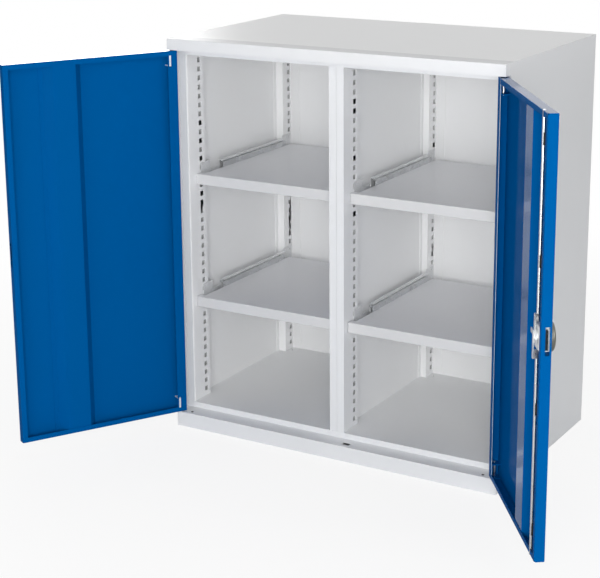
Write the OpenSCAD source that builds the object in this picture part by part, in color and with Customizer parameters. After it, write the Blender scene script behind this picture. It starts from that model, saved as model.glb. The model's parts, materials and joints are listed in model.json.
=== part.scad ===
// Low tool cabinet with two hinged doors, a middle partition, slotted uprights,
// four pull-out shelves and a turn lock that drives two rods and a centre bolt.
// Millimetres, +Z up. The origin is the middle of the base, and the doors are at -Y.

/* [Cabinet] */
// Overall width of the body
cabinet_width = 980; // [860:10:1200]
// Overall depth of the body
cabinet_depth = 600; // [560:10:700]
// Overall height of the body
cabinet_height = 1100; // [1000:25:1400]
// Thickness of the body sheet
sheet = 1.5; // [1:0.1:2]
// Outside radius of the folds at the front of the body
body_fold = 2; // [1.6:0.1:2.5]
// Height of the lip over the doors
lip_height = 30; // [24:1:40]
// Height of the plinth under the doors
plinth_height = 42; // [30:1:80]
// Depth of the side returns of the lip and the plinth
return_depth = 28; // [20:1:28]
// Distance from the front to the inner frame faces
frame_recess = 52; // [46:1:60]
// Width of the frame faces beside the opening
frame_face = 24; // [20:1:30]
// Depth of the flange behind each frame face
frame_flange = 20; // [15:1:24]
// Height of the floor above the plinth ledge
floor_rise = 16; // [10:1:24]
// Height of the rail that hangs below the lip
stop_height = 18; // [10:1:24]
// Width of the partition's front face
partition_face = 44; // [36:1:60]
// Seam between the two halves of the partition
partition_seam = 0.4; // [0.2:0.1:1]
// Width of the base rails under the floor
base_rail_width = 40; // [30:1:60]

/* [Uprights] */
// Distance between shelf slots
slot_pitch = 25; // [20:5:50]
// Depth of a slot
slot_width = 13; // [8:1:16]
// Height of a slot
slot_height = 13; // [8:1:18]
// Distance from the top of the body to the first slot
first_slot_drop = 70; // [60:1:90]
// Width of a front upright's slotted face
front_upright_width = 77; // [70:1:100]
// Distance from a front upright's front edge to its slots
front_slot_setback = 56; // [30:1:60]
// Width of a rear upright's slotted face
rear_upright_width = 46; // [40:1:60]
// Distance from the back of a rear upright to its slots
rear_slot_setback = 13; // [10:1:20]
// Width of an upright's flange on the wall or the back
upright_foot = 29; // [15:1:40]

/* [Shelves] */
// Number of the slot, from the top, that carries the upper shelves
upper_slot = 13; // [8:1:16]
// Number of the slot, from the top, that carries the lower shelves
lower_slot = 27; // [22:1:30]
// Height of a shelf above the slot that carries it
shelf_over_slot = 11; // [6:1:14]
// Thickness of the shelf sheet
shelf_sheet = 1.2; // [0.8:0.1:1.5]
// Outside radius of the folds of a shelf's front lip
shelf_fold = 2; // [1.3:0.1:2.2]
// Height of a shelf's front lip
shelf_lip = 29; // [26:1:40]
// Depth of a shelf's front lip
shelf_lip_depth = 20; // [12:1:22]
// Depth of a shelf
shelf_depth = 480; // [440:5:500]
// Distance from the front of the body to the shelf fronts
shelf_setback = 86; // [80:1:90]
// How far the lower shelves stand pulled out
lower_shelf_out = 14; // [0:1:20]
// Side clearance of a shelf front in the opening
shelf_gap = 2; // [1:0.5:4]
// Height of a shelf's side and rear flanges
shelf_flange = 24; // [18:1:26]

/* [Runners] */
// Length of the rails
rail_length = 340; // [280:5:380]
// Distance from the shelf front to the rails
rail_setback = 112; // [95:1:130]
// Height of the outer rail
rail_height = 42; // [36:1:46]
// How far the outer rail stands above the shelf
rail_rise = 20; // [16:1:24]
// Width of the outer rail
rail_width = 10; // [9:0.5:11]
// Thickness of the rail sheet
rail_sheet = 1.5; // [1:0.1:2]
// Height of the lips that hold the inner rail
rail_lip = 3; // [2:0.5:4]
// Running clearance of the rails
rail_gap = 0.3; // [0.2:0.1:0.6]
// Height of the bracket that carries the rails
bracket_height = 26; // [20:1:30]
// Length of the bracket's raised ears
ear_length = 46; // [36:1:60]
// Height of the bracket's raised ears above the shelf
ear_rise = 27; // [24:1:30]

/* [Doors] */
// Thickness of a door
door_depth = 25; // [22:1:28]
// Thickness of the door sheet
door_sheet = 1.2; // [0.8:0.1:1.5]
// Outside radius of the folds around a door
door_fold = 2; // [1.3:0.1:2.2]
// Gap above and below a door
door_gap = 2; // [1.5:0.5:4]
// Gap between the two doors
centre_gap = 3; // [2:0.5:6]
// Distance from a body side to the hinge edge of the door
door_side_gap = 2; // [1:0.5:4]
// Width of a door's inner lip on the hinge side
hinge_lip = 28; // [24:1:34]
// Width of the other inner lips of a door
door_lip = 14; // [10:1:16]
// Angle at which the left door stands open
left_open_angle = 120; // [90:1:180]
// Angle at which the right door stands open
right_open_angle = 126; // [90:1:180]
// Distance from a door's free edge to the middle of its stiffener
stiffener_place = 165; // [150:1:200]
// Width of a stiffener's flat face
stiffener_face = 64; // [40:1:80]
// Width of each slanted side of a stiffener
stiffener_flank = 20; // [8:1:24]
// Width of a stiffener's flanges on the door
stiffener_flange = 12; // [8:1:16]

/* [Hinges] */
// Diameter of a hinge pin
pin_diameter = 8; // [6:0.5:9]
// Distance from a body side to the hinge axis
pin_inset = 10; // [9:0.5:11]
// Running clearance around a hinge pin
pin_clearance = 0.05; // [0.02:0.01:0.1]
// Length of a pin inside the door
pin_hold = 44; // [36:1:60]
// Reach of a pin past the door
pin_reach = 6; // [5:0.5:8]
// Height of a hinge bracket
hinge_bracket_height = 40; // [32:1:60]
// Thickness of a hinge bracket
hinge_plate = 2.5; // [2:0.5:3]
// Height of the window in front of a hinge bracket
window_height = 32; // [20:1:36]
// Width of the window in front of a hinge bracket
window_width = 6; // [5:1:16]

/* [Lock] */
// Height of the lock above the base of the body
lock_height = 566; // [500:1:640]
// Distance from the free edge to the spindle
spindle_inset = 44; // [42:1:56]
// Diameter of the spindle
spindle_diameter = 10; // [8:1:12]
// Diameter of the round escutcheon
escutcheon_diameter = 74; // [60:1:80]
// How far the knob stands out of the door
knob_height = 12; // [10:1:20]
// Diameter of the knob
knob_diameter = 54; // [40:1:56]
// Diameter of the locking rods
rod_diameter = 8; // [6:1:9]
// Distance from the free edge to the rods
rod_inset = 44; // [40:1:48]
// Stroke of the rods
rod_travel = 18; // [12:1:20]
// Stroke of the centre bolt
bolt_travel = 16; // [8:1:18]
// Height of the centre bolt
bolt_height = 46; // [30:1:52]
// Running clearance inside the lock
lock_gap = 0.3; // [0.2:0.1:0.5]
// Diameter of the cam pins
cam_pin_diameter = 5; // [4:0.5:6]

/* [Hidden] */
$fn = 48;

light_grey = "#d9dbdd";
door_blue = "#0d4f8b";
zinc = "#b9c0c4";
bright_steel = "#c8ccd0";
black_plastic = "#1d1e20";
olive_plastic = "#45473f";

// Small overlap that lets a cut run clear of a face
cut = 1;
// Clearance between pieces that only lie against each other
seat = 0.3;

half_width = cabinet_width / 2;
half_depth = cabinet_depth / 2;
front = -half_depth;
opening_top = cabinet_height - lip_height;
opening_bottom = plinth_height;
floor_top = plinth_height + floor_rise;
roof_bottom = cabinet_height - sheet;
stop_bottom = opening_top - stop_height;
frame_front = front + frame_recess;
wall_start = return_depth + sheet;

// Slotted faces: their distance from the middle of the cabinet
wall_face = half_width - frame_face - sheet;
partition_out = partition_face / 2 - sheet;
wall_root = half_width - sheet;
partition_root = partition_seam / 2 + sheet;
// Gap between the frame faces and the front uprights
upright_gap = 4;
front_upright_front = frame_front + upright_gap;
rear_upright_front = half_depth - sheet - rear_upright_width;
first_slot = cabinet_height - first_slot_drop;
slot_count = floor((first_slot - floor_top - slot_height) / slot_pitch) + 1;

// Shelves, one row each: side of the cabinet, carrying slot, distance pulled out
function slot_level(number) = first_slot - number * slot_pitch;
compartment_middle = (wall_face + partition_out) / 2;
compartment_width = wall_face - partition_out;
shelf_half_width = (half_width - frame_face - partition_face / 2) / 2 - shelf_gap;
// Gap between a runner and the side of the shelf, also inside the runner
rail_gap_to_shelf = 1;
tray_half_width = compartment_width / 2 - sheet - rail_width - 3 * rail_sheet - rail_gap_to_shelf;
shelf_front = front + shelf_setback;
rail_front = shelf_front + rail_setback;

// Doors, in door coordinates: x from the hinge edge, y from the outer face
door_bottom = opening_bottom + door_gap;
door_top = opening_top - door_gap;
door_width = half_width - door_side_gap - centre_gap / 2;
pin_x = pin_inset - door_side_gap;
pin_y = door_depth / 2;
rod_x = door_width - rod_inset;
// How far the rods stand out past the door's inner lips
rod_proud = 0.5;
rod_y = door_depth + rod_proud - rod_diameter / 2;
spindle_x = door_width - spindle_inset;
// Extra size of a hole that only clears what passes through it
hole_fit = 0.2;
// The same where the piece slides or turns in the hole
wide_fit = 1;
bush_wall = 2;
bush_rim = 2;
bush_tail = 2;
bush_sleeve = pin_diameter + 2 * bush_wall;
bush_diameter = bush_sleeve + 2 * bush_rim;
bush_flange = door_gap - seat;
corner_relief = 3;
window_margin = 4;
window_start = hinge_lip - window_margin - window_width;
hinge_bracket_start = door_fold + seat;
hinge_bracket_width = hinge_lip - window_margin / 2 - hinge_bracket_start;
hinge_web_y = door_depth - door_sheet - seat - hinge_plate;
window_drop = 12;
// Height of the slot in the free edges over the height of the bolt
strike_slack = 20;
strike_height = bolt_height + strike_slack;
latch_slot_y = 5;
latch_slot_width = 10;

// Lock layers, as distances from the outer face of the door
case_back = door_sheet;
case_recess = 1;
case_front = door_depth - case_recess;
cam_thickness = 3;
yoke_thickness = 2.2;
cam_front = case_front + lock_gap + cam_thickness;
upper_yoke_front = cam_front + lock_gap + yoke_thickness;
lower_yoke_front = upper_yoke_front + lock_gap + yoke_thickness;
cam_radius = rod_travel / sqrt(2);
cam_rim = 3;
cam_diameter = 2 * cam_radius + cam_pin_diameter + 2 * cam_rim;
yoke_clearance = 0.6;
case_half_height = 28;
case_reach = 14;
case_start = door_width - spindle_inset - case_reach;
case_end = door_width - door_lip - seat;
yoke_reach = 15;
yoke_margin = 4;
yoke_rim = 3;
yoke_link = case_half_height + yoke_margin;
yoke_block = 20;
bolt_y = latch_slot_y + latch_slot_width / 2;
bolt_side_gap = 2;
bolt_thickness = latch_slot_width - 2 * bolt_side_gap;
spindle_slack = 0.5;
// Length of the bolt that stays in the lock case when it is out
bolt_hold = 14.5;
// How far the bolt is drawn back behind the edge of the door
bolt_set_back = 6;
bolt_end = door_width - door_sheet - bolt_set_back;
bolt_tail = bolt_end - bolt_hold - bolt_travel;
rod_tip = 1;

// Rod guides, two at the door's ends and two beside the lock
guide_from_end = 62;
guide_from_lock = 170;
guide_places = [
    door_top - guide_from_end, lock_height + guide_from_lock,
    lock_height - guide_from_lock, door_bottom + guide_from_end
];
guide_half_height = 14;
guide_half_width = 8;
guide_grip = 2;

// Knob, its surround and the key cylinder
knob_seat = 2.5;
surround_round = 7;
grip_width = 13;
grip_floor = 1.2;
knob_wall = 3;
key_diameter = 12;
key_depth = 3;
key_proud = 0.5;
key_slot = [1.6, 1, 8];

// Catch openings for the rods, larger than the rod by these amounts
catch_slack = [12, 6];

// Open corner of the lip under the roof
corner_slit_height = 12;
corner_slit = 1;

// Hooks and ears of a bracket
hook_inset = 4;
hook_reach = 3;
hook_width = 4;
hook_drop = 2;
bracket_top = 2;
ear_hole = 6;
ear_hole_inset = 8;
ear_hole_drop = 9;

// A block between two corners
module block(from, to) translate(from) cube(to - from);

// Flat outline with rounded corners, between two corners
module rounded_outline(from, to, radius) {
    size = to - from;
    translate(from) {
        translate([radius, 0]) square([size[0] - 2 * radius, size[1]]);
        translate([0, radius]) square([size[0], size[1] - 2 * radius]);
        for (x = [radius, size[0] - radius], y = [radius, size[1] - radius])
            translate([x, y]) circle(radius);
    }
}

// Block whose upright edges are rounded
module upright_rounded(from, to, radius)
    translate([0, 0, from[2]])
        linear_extrude(to[2] - from[2])
            rounded_outline([from[0], from[1]], [to[0], to[1]], radius);

// Block whose edges along x are rounded
module lengthwise_rounded(from, to, radius)
    translate([from[0], 0, 0]) rotate([90, 0, 90])
        linear_extrude(to[0] - from[0])
            rounded_outline([from[1], from[2]], [to[1], to[2]], radius);

// What comes off an outside corner to make a fold: the corner runs up from the origin
module fold_waste(radius, length)
    difference() {
        translate([-cut, -cut, -cut]) cube([radius + cut, radius + cut, length + 2 * cut]);
        translate([radius, radius, -2 * cut]) cylinder(r = radius, h = length + 4 * cut);
    }

// The same, for a front edge that runs along x at height z, with the piece below it
module front_fold_waste(radius, half_length, y, z)
    translate([-half_length, y, z]) rotate([0, 90, 0]) fold_waste(radius, 2 * half_length);

// The same solid on the left, or mirrored to the right
module on_side(side)
    if (side > 0) mirror([1, 0, 0]) children();
    else children();

// ---------------------------------------------------------------- body

// Round holes for a hinge pin's bush at both front corners
module bush_holes(z)
    for (side = [-1, 1])
        translate([side * (half_width - pin_inset), front + pin_y, z - cut])
            cylinder(d = bush_sleeve + hole_fit, h = sheet + 2 * cut);

// Opening in a ledge that takes the end of a locking rod
module rod_catch(z) {
    catch_x = half_width - door_side_gap - rod_x;
    catch_size = [rod_diameter, rod_diameter] + catch_slack;
    translate([catch_x - catch_size[0] / 2, front + rod_y - catch_size[1] / 2, z - cut])
        cube([catch_size[0], catch_size[1], sheet + 2 * cut]);
}

// Front strip of a ledge: full width under the side returns, narrower beside the walls
module ledge(z) {
    block([-half_width + sheet, front + sheet, z], [half_width - sheet, front + return_depth, z + sheet]);
    block([-half_width + 2 * sheet, front + return_depth, z],
          [half_width - 2 * sheet, frame_front + sheet, z + sheet]);
}

module top_panel()
    color(light_grey) difference() {
        union() {
            block([-half_width, front, roof_bottom], [half_width, half_depth, cabinet_height]);
            block([-half_width, front, opening_top], [half_width, front + sheet, roof_bottom]);
            for (side = [-1, 1]) on_side(side)
                block([-half_width, front, opening_top],
                      [-half_width + sheet, front + return_depth, roof_bottom]);
            ledge(opening_top);
            block([-half_width + frame_face, frame_front, stop_bottom],
                  [half_width - frame_face, frame_front + sheet, opening_top + sheet]);
        }
        bush_holes(opening_top);
        rod_catch(opening_top);
        front_fold_waste(body_fold, half_width, front, cabinet_height);
        for (side = [-1, 1]) on_side(side) {
            translate([-half_width, front, opening_top]) fold_waste(body_fold, lip_height);
            block([-half_width - cut, front + sheet, roof_bottom - corner_slit_height],
                  [-half_width + sheet + cut, front + sheet + corner_slit, roof_bottom - corner_slit / 2]);
        }
    }

module side_panel()
    color(light_grey) {
        block([-half_width, front + wall_start, 0], [-half_width + sheet, half_depth, roof_bottom]);
        block([-half_width + sheet, front + wall_start, 0],
              [-half_width + 2 * sheet, frame_front, opening_top]);
        block([-half_width + sheet, frame_front, opening_bottom],
              [-half_width + frame_face, frame_front + sheet, opening_top]);
        block([-half_width + frame_face - sheet, frame_front + sheet, floor_top],
              [-half_width + frame_face, frame_front + frame_flange, opening_top]);
        block([-half_width + sheet, frame_front + sheet + seat, 0],
              [-half_width + frame_face, half_depth - sheet - base_rail_width - seat, sheet]);
    }

module left_side_panel() side_panel();
module right_side_panel() mirror([1, 0, 0]) side_panel();

module back_panel()
    color(light_grey)
        block([-half_width + sheet, half_depth - sheet, 0], [half_width - sheet, half_depth, roof_bottom]);

module floor_panel()
    color(light_grey) {
        block([-half_width + sheet, frame_front + sheet, floor_top - sheet],
              [half_width - sheet, half_depth - sheet, floor_top]);
        block([-half_width + frame_face, frame_front, opening_bottom],
              [half_width - frame_face, frame_front + sheet, floor_top]);
    }

module plinth()
    color(light_grey) difference() {
        union() {
            block([-half_width, front, 0], [half_width, front + sheet, plinth_height]);
            for (side = [-1, 1]) on_side(side)
                block([-half_width, front, 0], [-half_width + sheet, front + return_depth, plinth_height]);
            ledge(plinth_height - sheet);
            block([-half_width + sheet, front + sheet, 0],
                  [half_width - sheet, front + return_depth, sheet]);
        }
        bush_holes(plinth_height - sheet);
        rod_catch(plinth_height - sheet);
        for (side = [-1, 1]) on_side(side)
            translate([-half_width, front, 0]) fold_waste(body_fold, plinth_height);
    }

module rear_base_rail()
    color(light_grey) {
        rail_front_y = half_depth - sheet - base_rail_width;
        span = half_width - sheet;
        block([-span, rail_front_y, 0], [span, rail_front_y + sheet, floor_top - sheet]);
        block([-span, rail_front_y, 0], [span, half_depth - sheet, sheet]);
        block([-span, rail_front_y, floor_top - 2 * sheet], [span, half_depth - sheet, floor_top - sheet]);
    }

module centre_base_rail()
    color(light_grey) {
        start = frame_front + sheet + seat;
        end = half_depth - sheet - base_rail_width - seat;
        block([-base_rail_width / 2, start, 0], [base_rail_width / 2, end, sheet]);
        for (side = [-1, 1]) on_side(side)
            block([-base_rail_width / 2, start, 0],
                  [-base_rail_width / 2 + sheet, end, floor_top - sheet]);
    }

// One half of the partition, on the left of the seam
module partition_half()
    color(light_grey) {
        block([-partition_face / 2, frame_front, floor_top],
              [-partition_seam / 2, frame_front + sheet, stop_bottom]);
        block([-partition_face / 2, frame_front + sheet, floor_top],
              [-partition_face / 2 + sheet, frame_front + frame_flange, stop_bottom]);
        block([-partition_root, frame_front + sheet, floor_top],
              [-partition_seam / 2, half_depth - sheet, roof_bottom]);
    }

module partition_left_half() partition_half();
module partition_right_half() mirror([1, 0, 0]) partition_half();

// ---------------------------------------------------------------- uprights

// Column of shelf slots through a slotted face
module slot_column(x, y)
    for (number = [0 : slot_count - 1])
        translate([x - sheet - cut, y - slot_width / 2, slot_level(number) - slot_height / 2])
            cube([sheet + 2 * cut, slot_width, slot_height]);

// Front upright on a surface at x = 0 that faces +x, with its slotted face at x = out
module front_upright(out)
    color(light_grey) difference() {
        translate([0, front_upright_front, floor_top]) {
            upright_height = roof_bottom - floor_top;
            block([out - sheet, 0, 0], [out, front_upright_width, upright_height]);
            block([0, front_upright_width - sheet, 0], [out, front_upright_width, upright_height]);
            block([0, front_upright_width - sheet, 0],
                  [sheet, front_upright_width + upright_foot / 2, upright_height]);
        }
        slot_column(out, front_upright_front + front_slot_setback);
    }

// Rear upright on a surface at x = 0 that faces +x, with a flange on the back panel
module rear_upright(out)
    color(light_grey) difference() {
        translate([0, rear_upright_front, floor_top]) {
            upright_height = roof_bottom - floor_top;
            block([0, 0, 0], [out, sheet, upright_height]);
            block([out - sheet, 0, 0], [out, rear_upright_width, upright_height]);
            block([out - sheet, rear_upright_width - sheet, 0],
                  [out + upright_foot, rear_upright_width, upright_height]);
            block([0, -upright_foot / 2, 0], [sheet, sheet, upright_height]);
        }
        slot_column(out, rear_upright_front + rear_upright_width - rear_slot_setback);
    }

// Uprights on the wall (left) and on the partition (its left side)
module on_wall() translate([-wall_root, 0, 0]) children();
module on_partition() translate([-partition_root, 0, 0]) mirror([1, 0, 0]) children();
wall_upright_out = wall_root - wall_face;
partition_upright_out = partition_out - partition_root;

module left_front_upright() on_wall() front_upright(wall_upright_out);
module left_rear_upright() on_wall() rear_upright(wall_upright_out);
module right_front_upright() mirror([1, 0, 0]) left_front_upright();
module right_rear_upright() mirror([1, 0, 0]) left_rear_upright();
module partition_left_front_upright() on_partition() front_upright(partition_upright_out);
module partition_left_rear_upright() on_partition() rear_upright(partition_upright_out);
module partition_right_front_upright() mirror([1, 0, 0]) partition_left_front_upright();
module partition_right_rear_upright() mirror([1, 0, 0]) partition_left_rear_upright();

// ---------------------------------------------------------------- shelves

// Places a shelf's pieces: x from the middle of the compartment, z from the shelf surface
module in_compartment(side, slot)
    translate([side * compartment_middle, 0, slot_level(slot) + shelf_over_slot]) children();

// Both runners of a shelf, from a piece drawn with x = 0 at the slotted face on the left
module both_sides()
    for (side = [-1, 1]) on_side(side)
        translate([-compartment_width / 2, 0, 0]) children();

module tray(out)
    color(light_grey) translate([0, shelf_front - out, 0]) difference() {
        lip_back = shelf_lip_depth;
        union() {
            block([-shelf_half_width, 0, -shelf_lip], [shelf_half_width, shelf_sheet, 0]);
            block([-shelf_half_width, 0, -shelf_sheet], [shelf_half_width, lip_back, 0]);
            block([-shelf_half_width, 0, -shelf_lip],
                  [shelf_half_width, lip_back, -shelf_lip + shelf_sheet]);
            for (side = [-1, 1]) on_side(side) {
                block([-shelf_half_width, 0, -shelf_lip],
                      [-shelf_half_width + shelf_sheet, lip_back, 0]);
                block([-tray_half_width, lip_back, -shelf_flange],
                      [-tray_half_width + shelf_sheet, shelf_depth, 0]);
            }
            block([-tray_half_width, lip_back, -shelf_sheet], [tray_half_width, shelf_depth, 0]);
            block([-tray_half_width, shelf_depth - shelf_sheet, -shelf_flange],
                  [tray_half_width, shelf_depth, 0]);
        }
        front_fold_waste(shelf_fold, shelf_half_width, 0, 0);
        translate([0, 0, -shelf_lip]) mirror([0, 0, 1])
            front_fold_waste(shelf_fold, shelf_half_width, 0, 0);
        for (side = [-1, 1]) on_side(side)
            translate([-shelf_half_width, 0, -shelf_lip]) fold_waste(shelf_fold, shelf_lip);
    }

// Outer rail: an open channel with lips, lying against the bracket
module outer_rail()
    color(zinc) translate([sheet, rail_front, rail_rise]) {
        low = -rail_height;
        block([0, 0, low], [rail_sheet, rail_length, 0]);
        block([0, 0, -rail_sheet], [rail_width, rail_length, 0]);
        block([0, 0, low], [rail_width, rail_length, low + rail_sheet]);
        block([rail_width - rail_sheet, 0, -rail_sheet - rail_lip], [rail_width, rail_length, 0]);
        block([rail_width - rail_sheet, 0, low], [rail_width, rail_length, low + rail_sheet + rail_lip]);
    }

// Inner rail: a hat section whose edges run inside the outer rail's lips
module inner_rail(out)
    color(bright_steel) translate([sheet, rail_front - out, rail_rise - rail_height / 2]) {
        reach = rail_height / 2 - rail_sheet - rail_gap;
        waist = rail_height / 2 - rail_sheet - rail_lip - rail_gap_to_shelf;
        hook = rail_width - 2 * rail_sheet - rail_gap_to_shelf;
        web = compartment_width / 2 - tray_half_width - sheet;
        block([web - rail_sheet, 0, -waist], [web, rail_length, waist]);
        for (up = [0, 1]) mirror([0, 0, up]) {
            block([hook - rail_sheet, 0, -waist], [web, rail_length, -waist + rail_sheet]);
            block([hook - rail_sheet, 0, -reach], [hook, rail_length, -waist + rail_sheet]);
        }
    }

// Bracket that hooks into the slots of both uprights and carries the outer rail
module bracket()
    color(zinc) {
        hook_y = front_upright_front + front_slot_setback;
        back_hook_y = rear_upright_front + rear_upright_width - rear_slot_setback;
        start = hook_y - hook_inset;
        end = back_hook_y + hook_inset;
        difference() {
            union() {
                block([0, start, bracket_top - bracket_height], [sheet, end, bracket_top]);
                block([0, start, 0], [sheet, start + ear_length, ear_rise]);
                block([0, end - ear_length, 0], [sheet, end, ear_rise]);
            }
            translate([-cut, back_hook_y - ear_hole_inset, ear_rise - ear_hole_drop]) rotate([0, 90, 0])
                cylinder(d = ear_hole, h = sheet + 2 * cut);
        }
        for (y = [hook_y, back_hook_y], number = [0, 1]) {
            slot_z = number * slot_pitch - shelf_over_slot;
            block([-sheet - hook_reach, y - hook_width / 2, slot_z - slot_height / 2 + seat],
                  [0, y + hook_width / 2, slot_z + slot_height / 2 - hook_drop]);
        }
    }

module upper_left_shelf() in_compartment(-1, upper_slot) tray(0);
module lower_left_shelf() in_compartment(-1, lower_slot) tray(lower_shelf_out);
module upper_right_shelf() in_compartment(1, upper_slot) tray(0);
module lower_right_shelf() in_compartment(1, lower_slot) tray(lower_shelf_out);
module upper_left_inner_rails() in_compartment(-1, upper_slot) both_sides() inner_rail(0);
module lower_left_inner_rails() in_compartment(-1, lower_slot) both_sides() inner_rail(lower_shelf_out);
module upper_right_inner_rails() in_compartment(1, upper_slot) both_sides() inner_rail(0);
module lower_right_inner_rails() in_compartment(1, lower_slot) both_sides() inner_rail(lower_shelf_out);
module upper_left_outer_rails() in_compartment(-1, upper_slot) both_sides() outer_rail();
module lower_left_outer_rails() in_compartment(-1, lower_slot) both_sides() outer_rail();
module upper_right_outer_rails() in_compartment(1, upper_slot) both_sides() outer_rail();
module lower_right_outer_rails() in_compartment(1, lower_slot) both_sides() outer_rail();
module upper_left_brackets() in_compartment(-1, upper_slot) both_sides() bracket();
module lower_left_brackets() in_compartment(-1, lower_slot) both_sides() bracket();
module upper_right_brackets() in_compartment(1, upper_slot) both_sides() bracket();
module lower_right_brackets() in_compartment(1, lower_slot) both_sides() bracket();

// ---------------------------------------------------------------- doors

// Places door coordinates at the standing angle of the left or the right door
module hung(side, angle)
    on_side(side)
        translate([-half_width + pin_inset, front + pin_y, 0])
            rotate([0, 0, -angle])
                translate([-pin_x, -pin_y, 0])
                    children();

module on_left_door() hung(-1, left_open_angle) children();
module on_right_door() hung(1, right_open_angle) children();

// Window in the hinge lip, measured from the door's end at z in direction up
module hinge_window(z, up)
    translate([window_start, door_depth - door_sheet - cut, z])
        mirror([0, 0, up > 0 ? 0 : 1])
            translate([0, 0, window_drop])
                cube([window_width, door_sheet + 2 * cut, window_height]);

// Door tray with rims and inner lips, folded from one sheet and open towards the cabinet
module door_panel()
    difference() {
        intersection() {
            upright_rounded([0, 0, door_bottom], [door_width, door_depth, door_top], door_fold);
            lengthwise_rounded([0, 0, door_bottom], [door_width, door_depth, door_top], door_fold);
        }
        upright_rounded([door_sheet, door_sheet, door_bottom + door_sheet],
                        [door_width - door_sheet, door_depth - door_sheet, door_top - door_sheet],
                        door_fold - door_sheet);
        block([hinge_lip, door_depth / 2, door_bottom + door_lip],
              [door_width - door_lip, door_depth + cut, door_top - door_lip]);
        hinge_window(door_bottom, 1);
        hinge_window(door_top, -1);
        for (z = [door_bottom, door_top]) {
            translate([pin_x, pin_y, z - door_sheet - cut])
                cylinder(d = pin_diameter + hole_fit, h = 2 * door_sheet + 2 * cut);
            translate([door_width - corner_relief, door_depth - corner_relief, z - corner_relief])
                cube([corner_relief + cut, corner_relief + cut, 2 * corner_relief]);
        }
        block([door_width - door_sheet - cut, latch_slot_y, lock_height - strike_height / 2],
              [door_width + cut, latch_slot_y + latch_slot_width, lock_height + strike_height / 2]);
    }

// Hat section that stiffens the door from rim to rim
module door_stiffener() {
    middle = door_width - stiffener_place;
    top_y = door_depth - door_sheet - seat;
    half_face = stiffener_face / 2;
    half_base = half_face + stiffener_flank;
    edge = half_base + stiffener_flange;
    side_thickness = door_sheet * norm([stiffener_flank, top_y - door_sheet]) / (top_y - door_sheet);
    color(door_blue)
        translate([middle, 0, door_bottom + door_sheet + seat])
            linear_extrude(door_top - door_bottom - 2 * door_sheet - 2 * seat)
                polygon([
                    [-edge, door_sheet], [-half_base + side_thickness, door_sheet],
                    [-half_face + door_sheet / 2, top_y - door_sheet],
                    [half_face - door_sheet / 2, top_y - door_sheet],
                    [half_base - side_thickness, door_sheet], [edge, door_sheet],
                    [edge, 2 * door_sheet], [half_base, 2 * door_sheet],
                    [half_face, top_y], [-half_face, top_y],
                    [-half_base, 2 * door_sheet], [-edge, 2 * door_sheet]
                ]);
}

// Bracket behind the window that holds the pin, at the bottom end of the door
module hinge_bracket()
    difference() {
        union() {
            end = hinge_bracket_start + hinge_bracket_width;
            block([hinge_bracket_start, hinge_web_y, 0],
                  [end, hinge_web_y + hinge_plate, hinge_bracket_height]);
            for (z = [0, hinge_bracket_height - hinge_plate])
                block([hinge_bracket_start, door_sheet, z],
                      [end, hinge_web_y + hinge_plate, z + hinge_plate]);
        }
        translate([pin_x, pin_y, -cut])
            cylinder(d = pin_diameter + hole_fit, h = hinge_bracket_height + 2 * cut);
    }

// The same piece at the bottom end of the door and, turned over, at its top end
module at_both_ends() {
    translate([0, 0, door_bottom]) children();
    translate([0, 0, door_top]) mirror([0, 0, 1]) children();
}

module hinge_brackets()
    color(zinc) at_both_ends() translate([0, 0, door_sheet]) hinge_bracket();

module hinge_pins()
    color(bright_steel) at_both_ends()
        translate([pin_x, pin_y, -pin_reach]) cylinder(d = pin_diameter, h = pin_reach + pin_hold);

module bush()
    difference() {
        union() {
            cylinder(d = bush_diameter, h = bush_flange);
            translate([0, 0, -sheet - bush_tail])
                cylinder(d = bush_sleeve, h = sheet + bush_tail + bush_flange);
        }
        translate([0, 0, -sheet - bush_tail - cut])
            cylinder(d = pin_diameter + 2 * pin_clearance, h = sheet + bush_tail + bush_flange + 2 * cut);
    }

module hinge_bushes()
    color(black_plastic)
        for (side = [-1, 1])
            translate([side * (half_width - pin_inset), front + pin_y, 0]) {
                translate([0, 0, opening_bottom]) bush();
                translate([0, 0, opening_top]) mirror([0, 0, 1]) bush();
            }

module left_door_panel() color(door_blue) on_left_door() door_panel();
module left_door_stiffener() on_left_door() door_stiffener();
module left_hinge_brackets() on_left_door() hinge_brackets();
module left_hinge_pins() on_left_door() hinge_pins();

module right_door_panel()
    color(door_blue) on_right_door() difference() {
        door_panel();
        for (z = [door_bottom, door_top])
            translate([rod_x, rod_y, z - door_sheet - cut])
                cylinder(d = rod_diameter + wide_fit, h = 2 * door_sheet + 2 * cut);
        for (z = [door_bottom - cut, door_top - door_lip - cut])
            block([rod_x - (rod_diameter + wide_fit) / 2, rod_y, z],
                  [rod_x + (rod_diameter + wide_fit) / 2, door_depth + cut, z + door_lip + 2 * cut]);
        translate([spindle_x, -cut, lock_height]) rotate([-90, 0, 0])
            cylinder(d = spindle_diameter + wide_fit, h = door_sheet + 2 * cut);
    }
module right_door_stiffener() on_right_door() door_stiffener();
module right_hinge_brackets() on_right_door() hinge_brackets();
module right_hinge_pins() on_right_door() hinge_pins();

// ---------------------------------------------------------------- lock

// Places lock pieces: x towards the free edge, y from the outer face, z up from the spindle
module at_spindle() on_right_door() translate([spindle_x, 0, lock_height]) children();

// Round piece along the spindle between two distances from the outer face
module turned(diameter, from, to)
    translate([0, from, 0]) rotate([-90, 0, 0]) cylinder(d = diameter, h = to - from);

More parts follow.
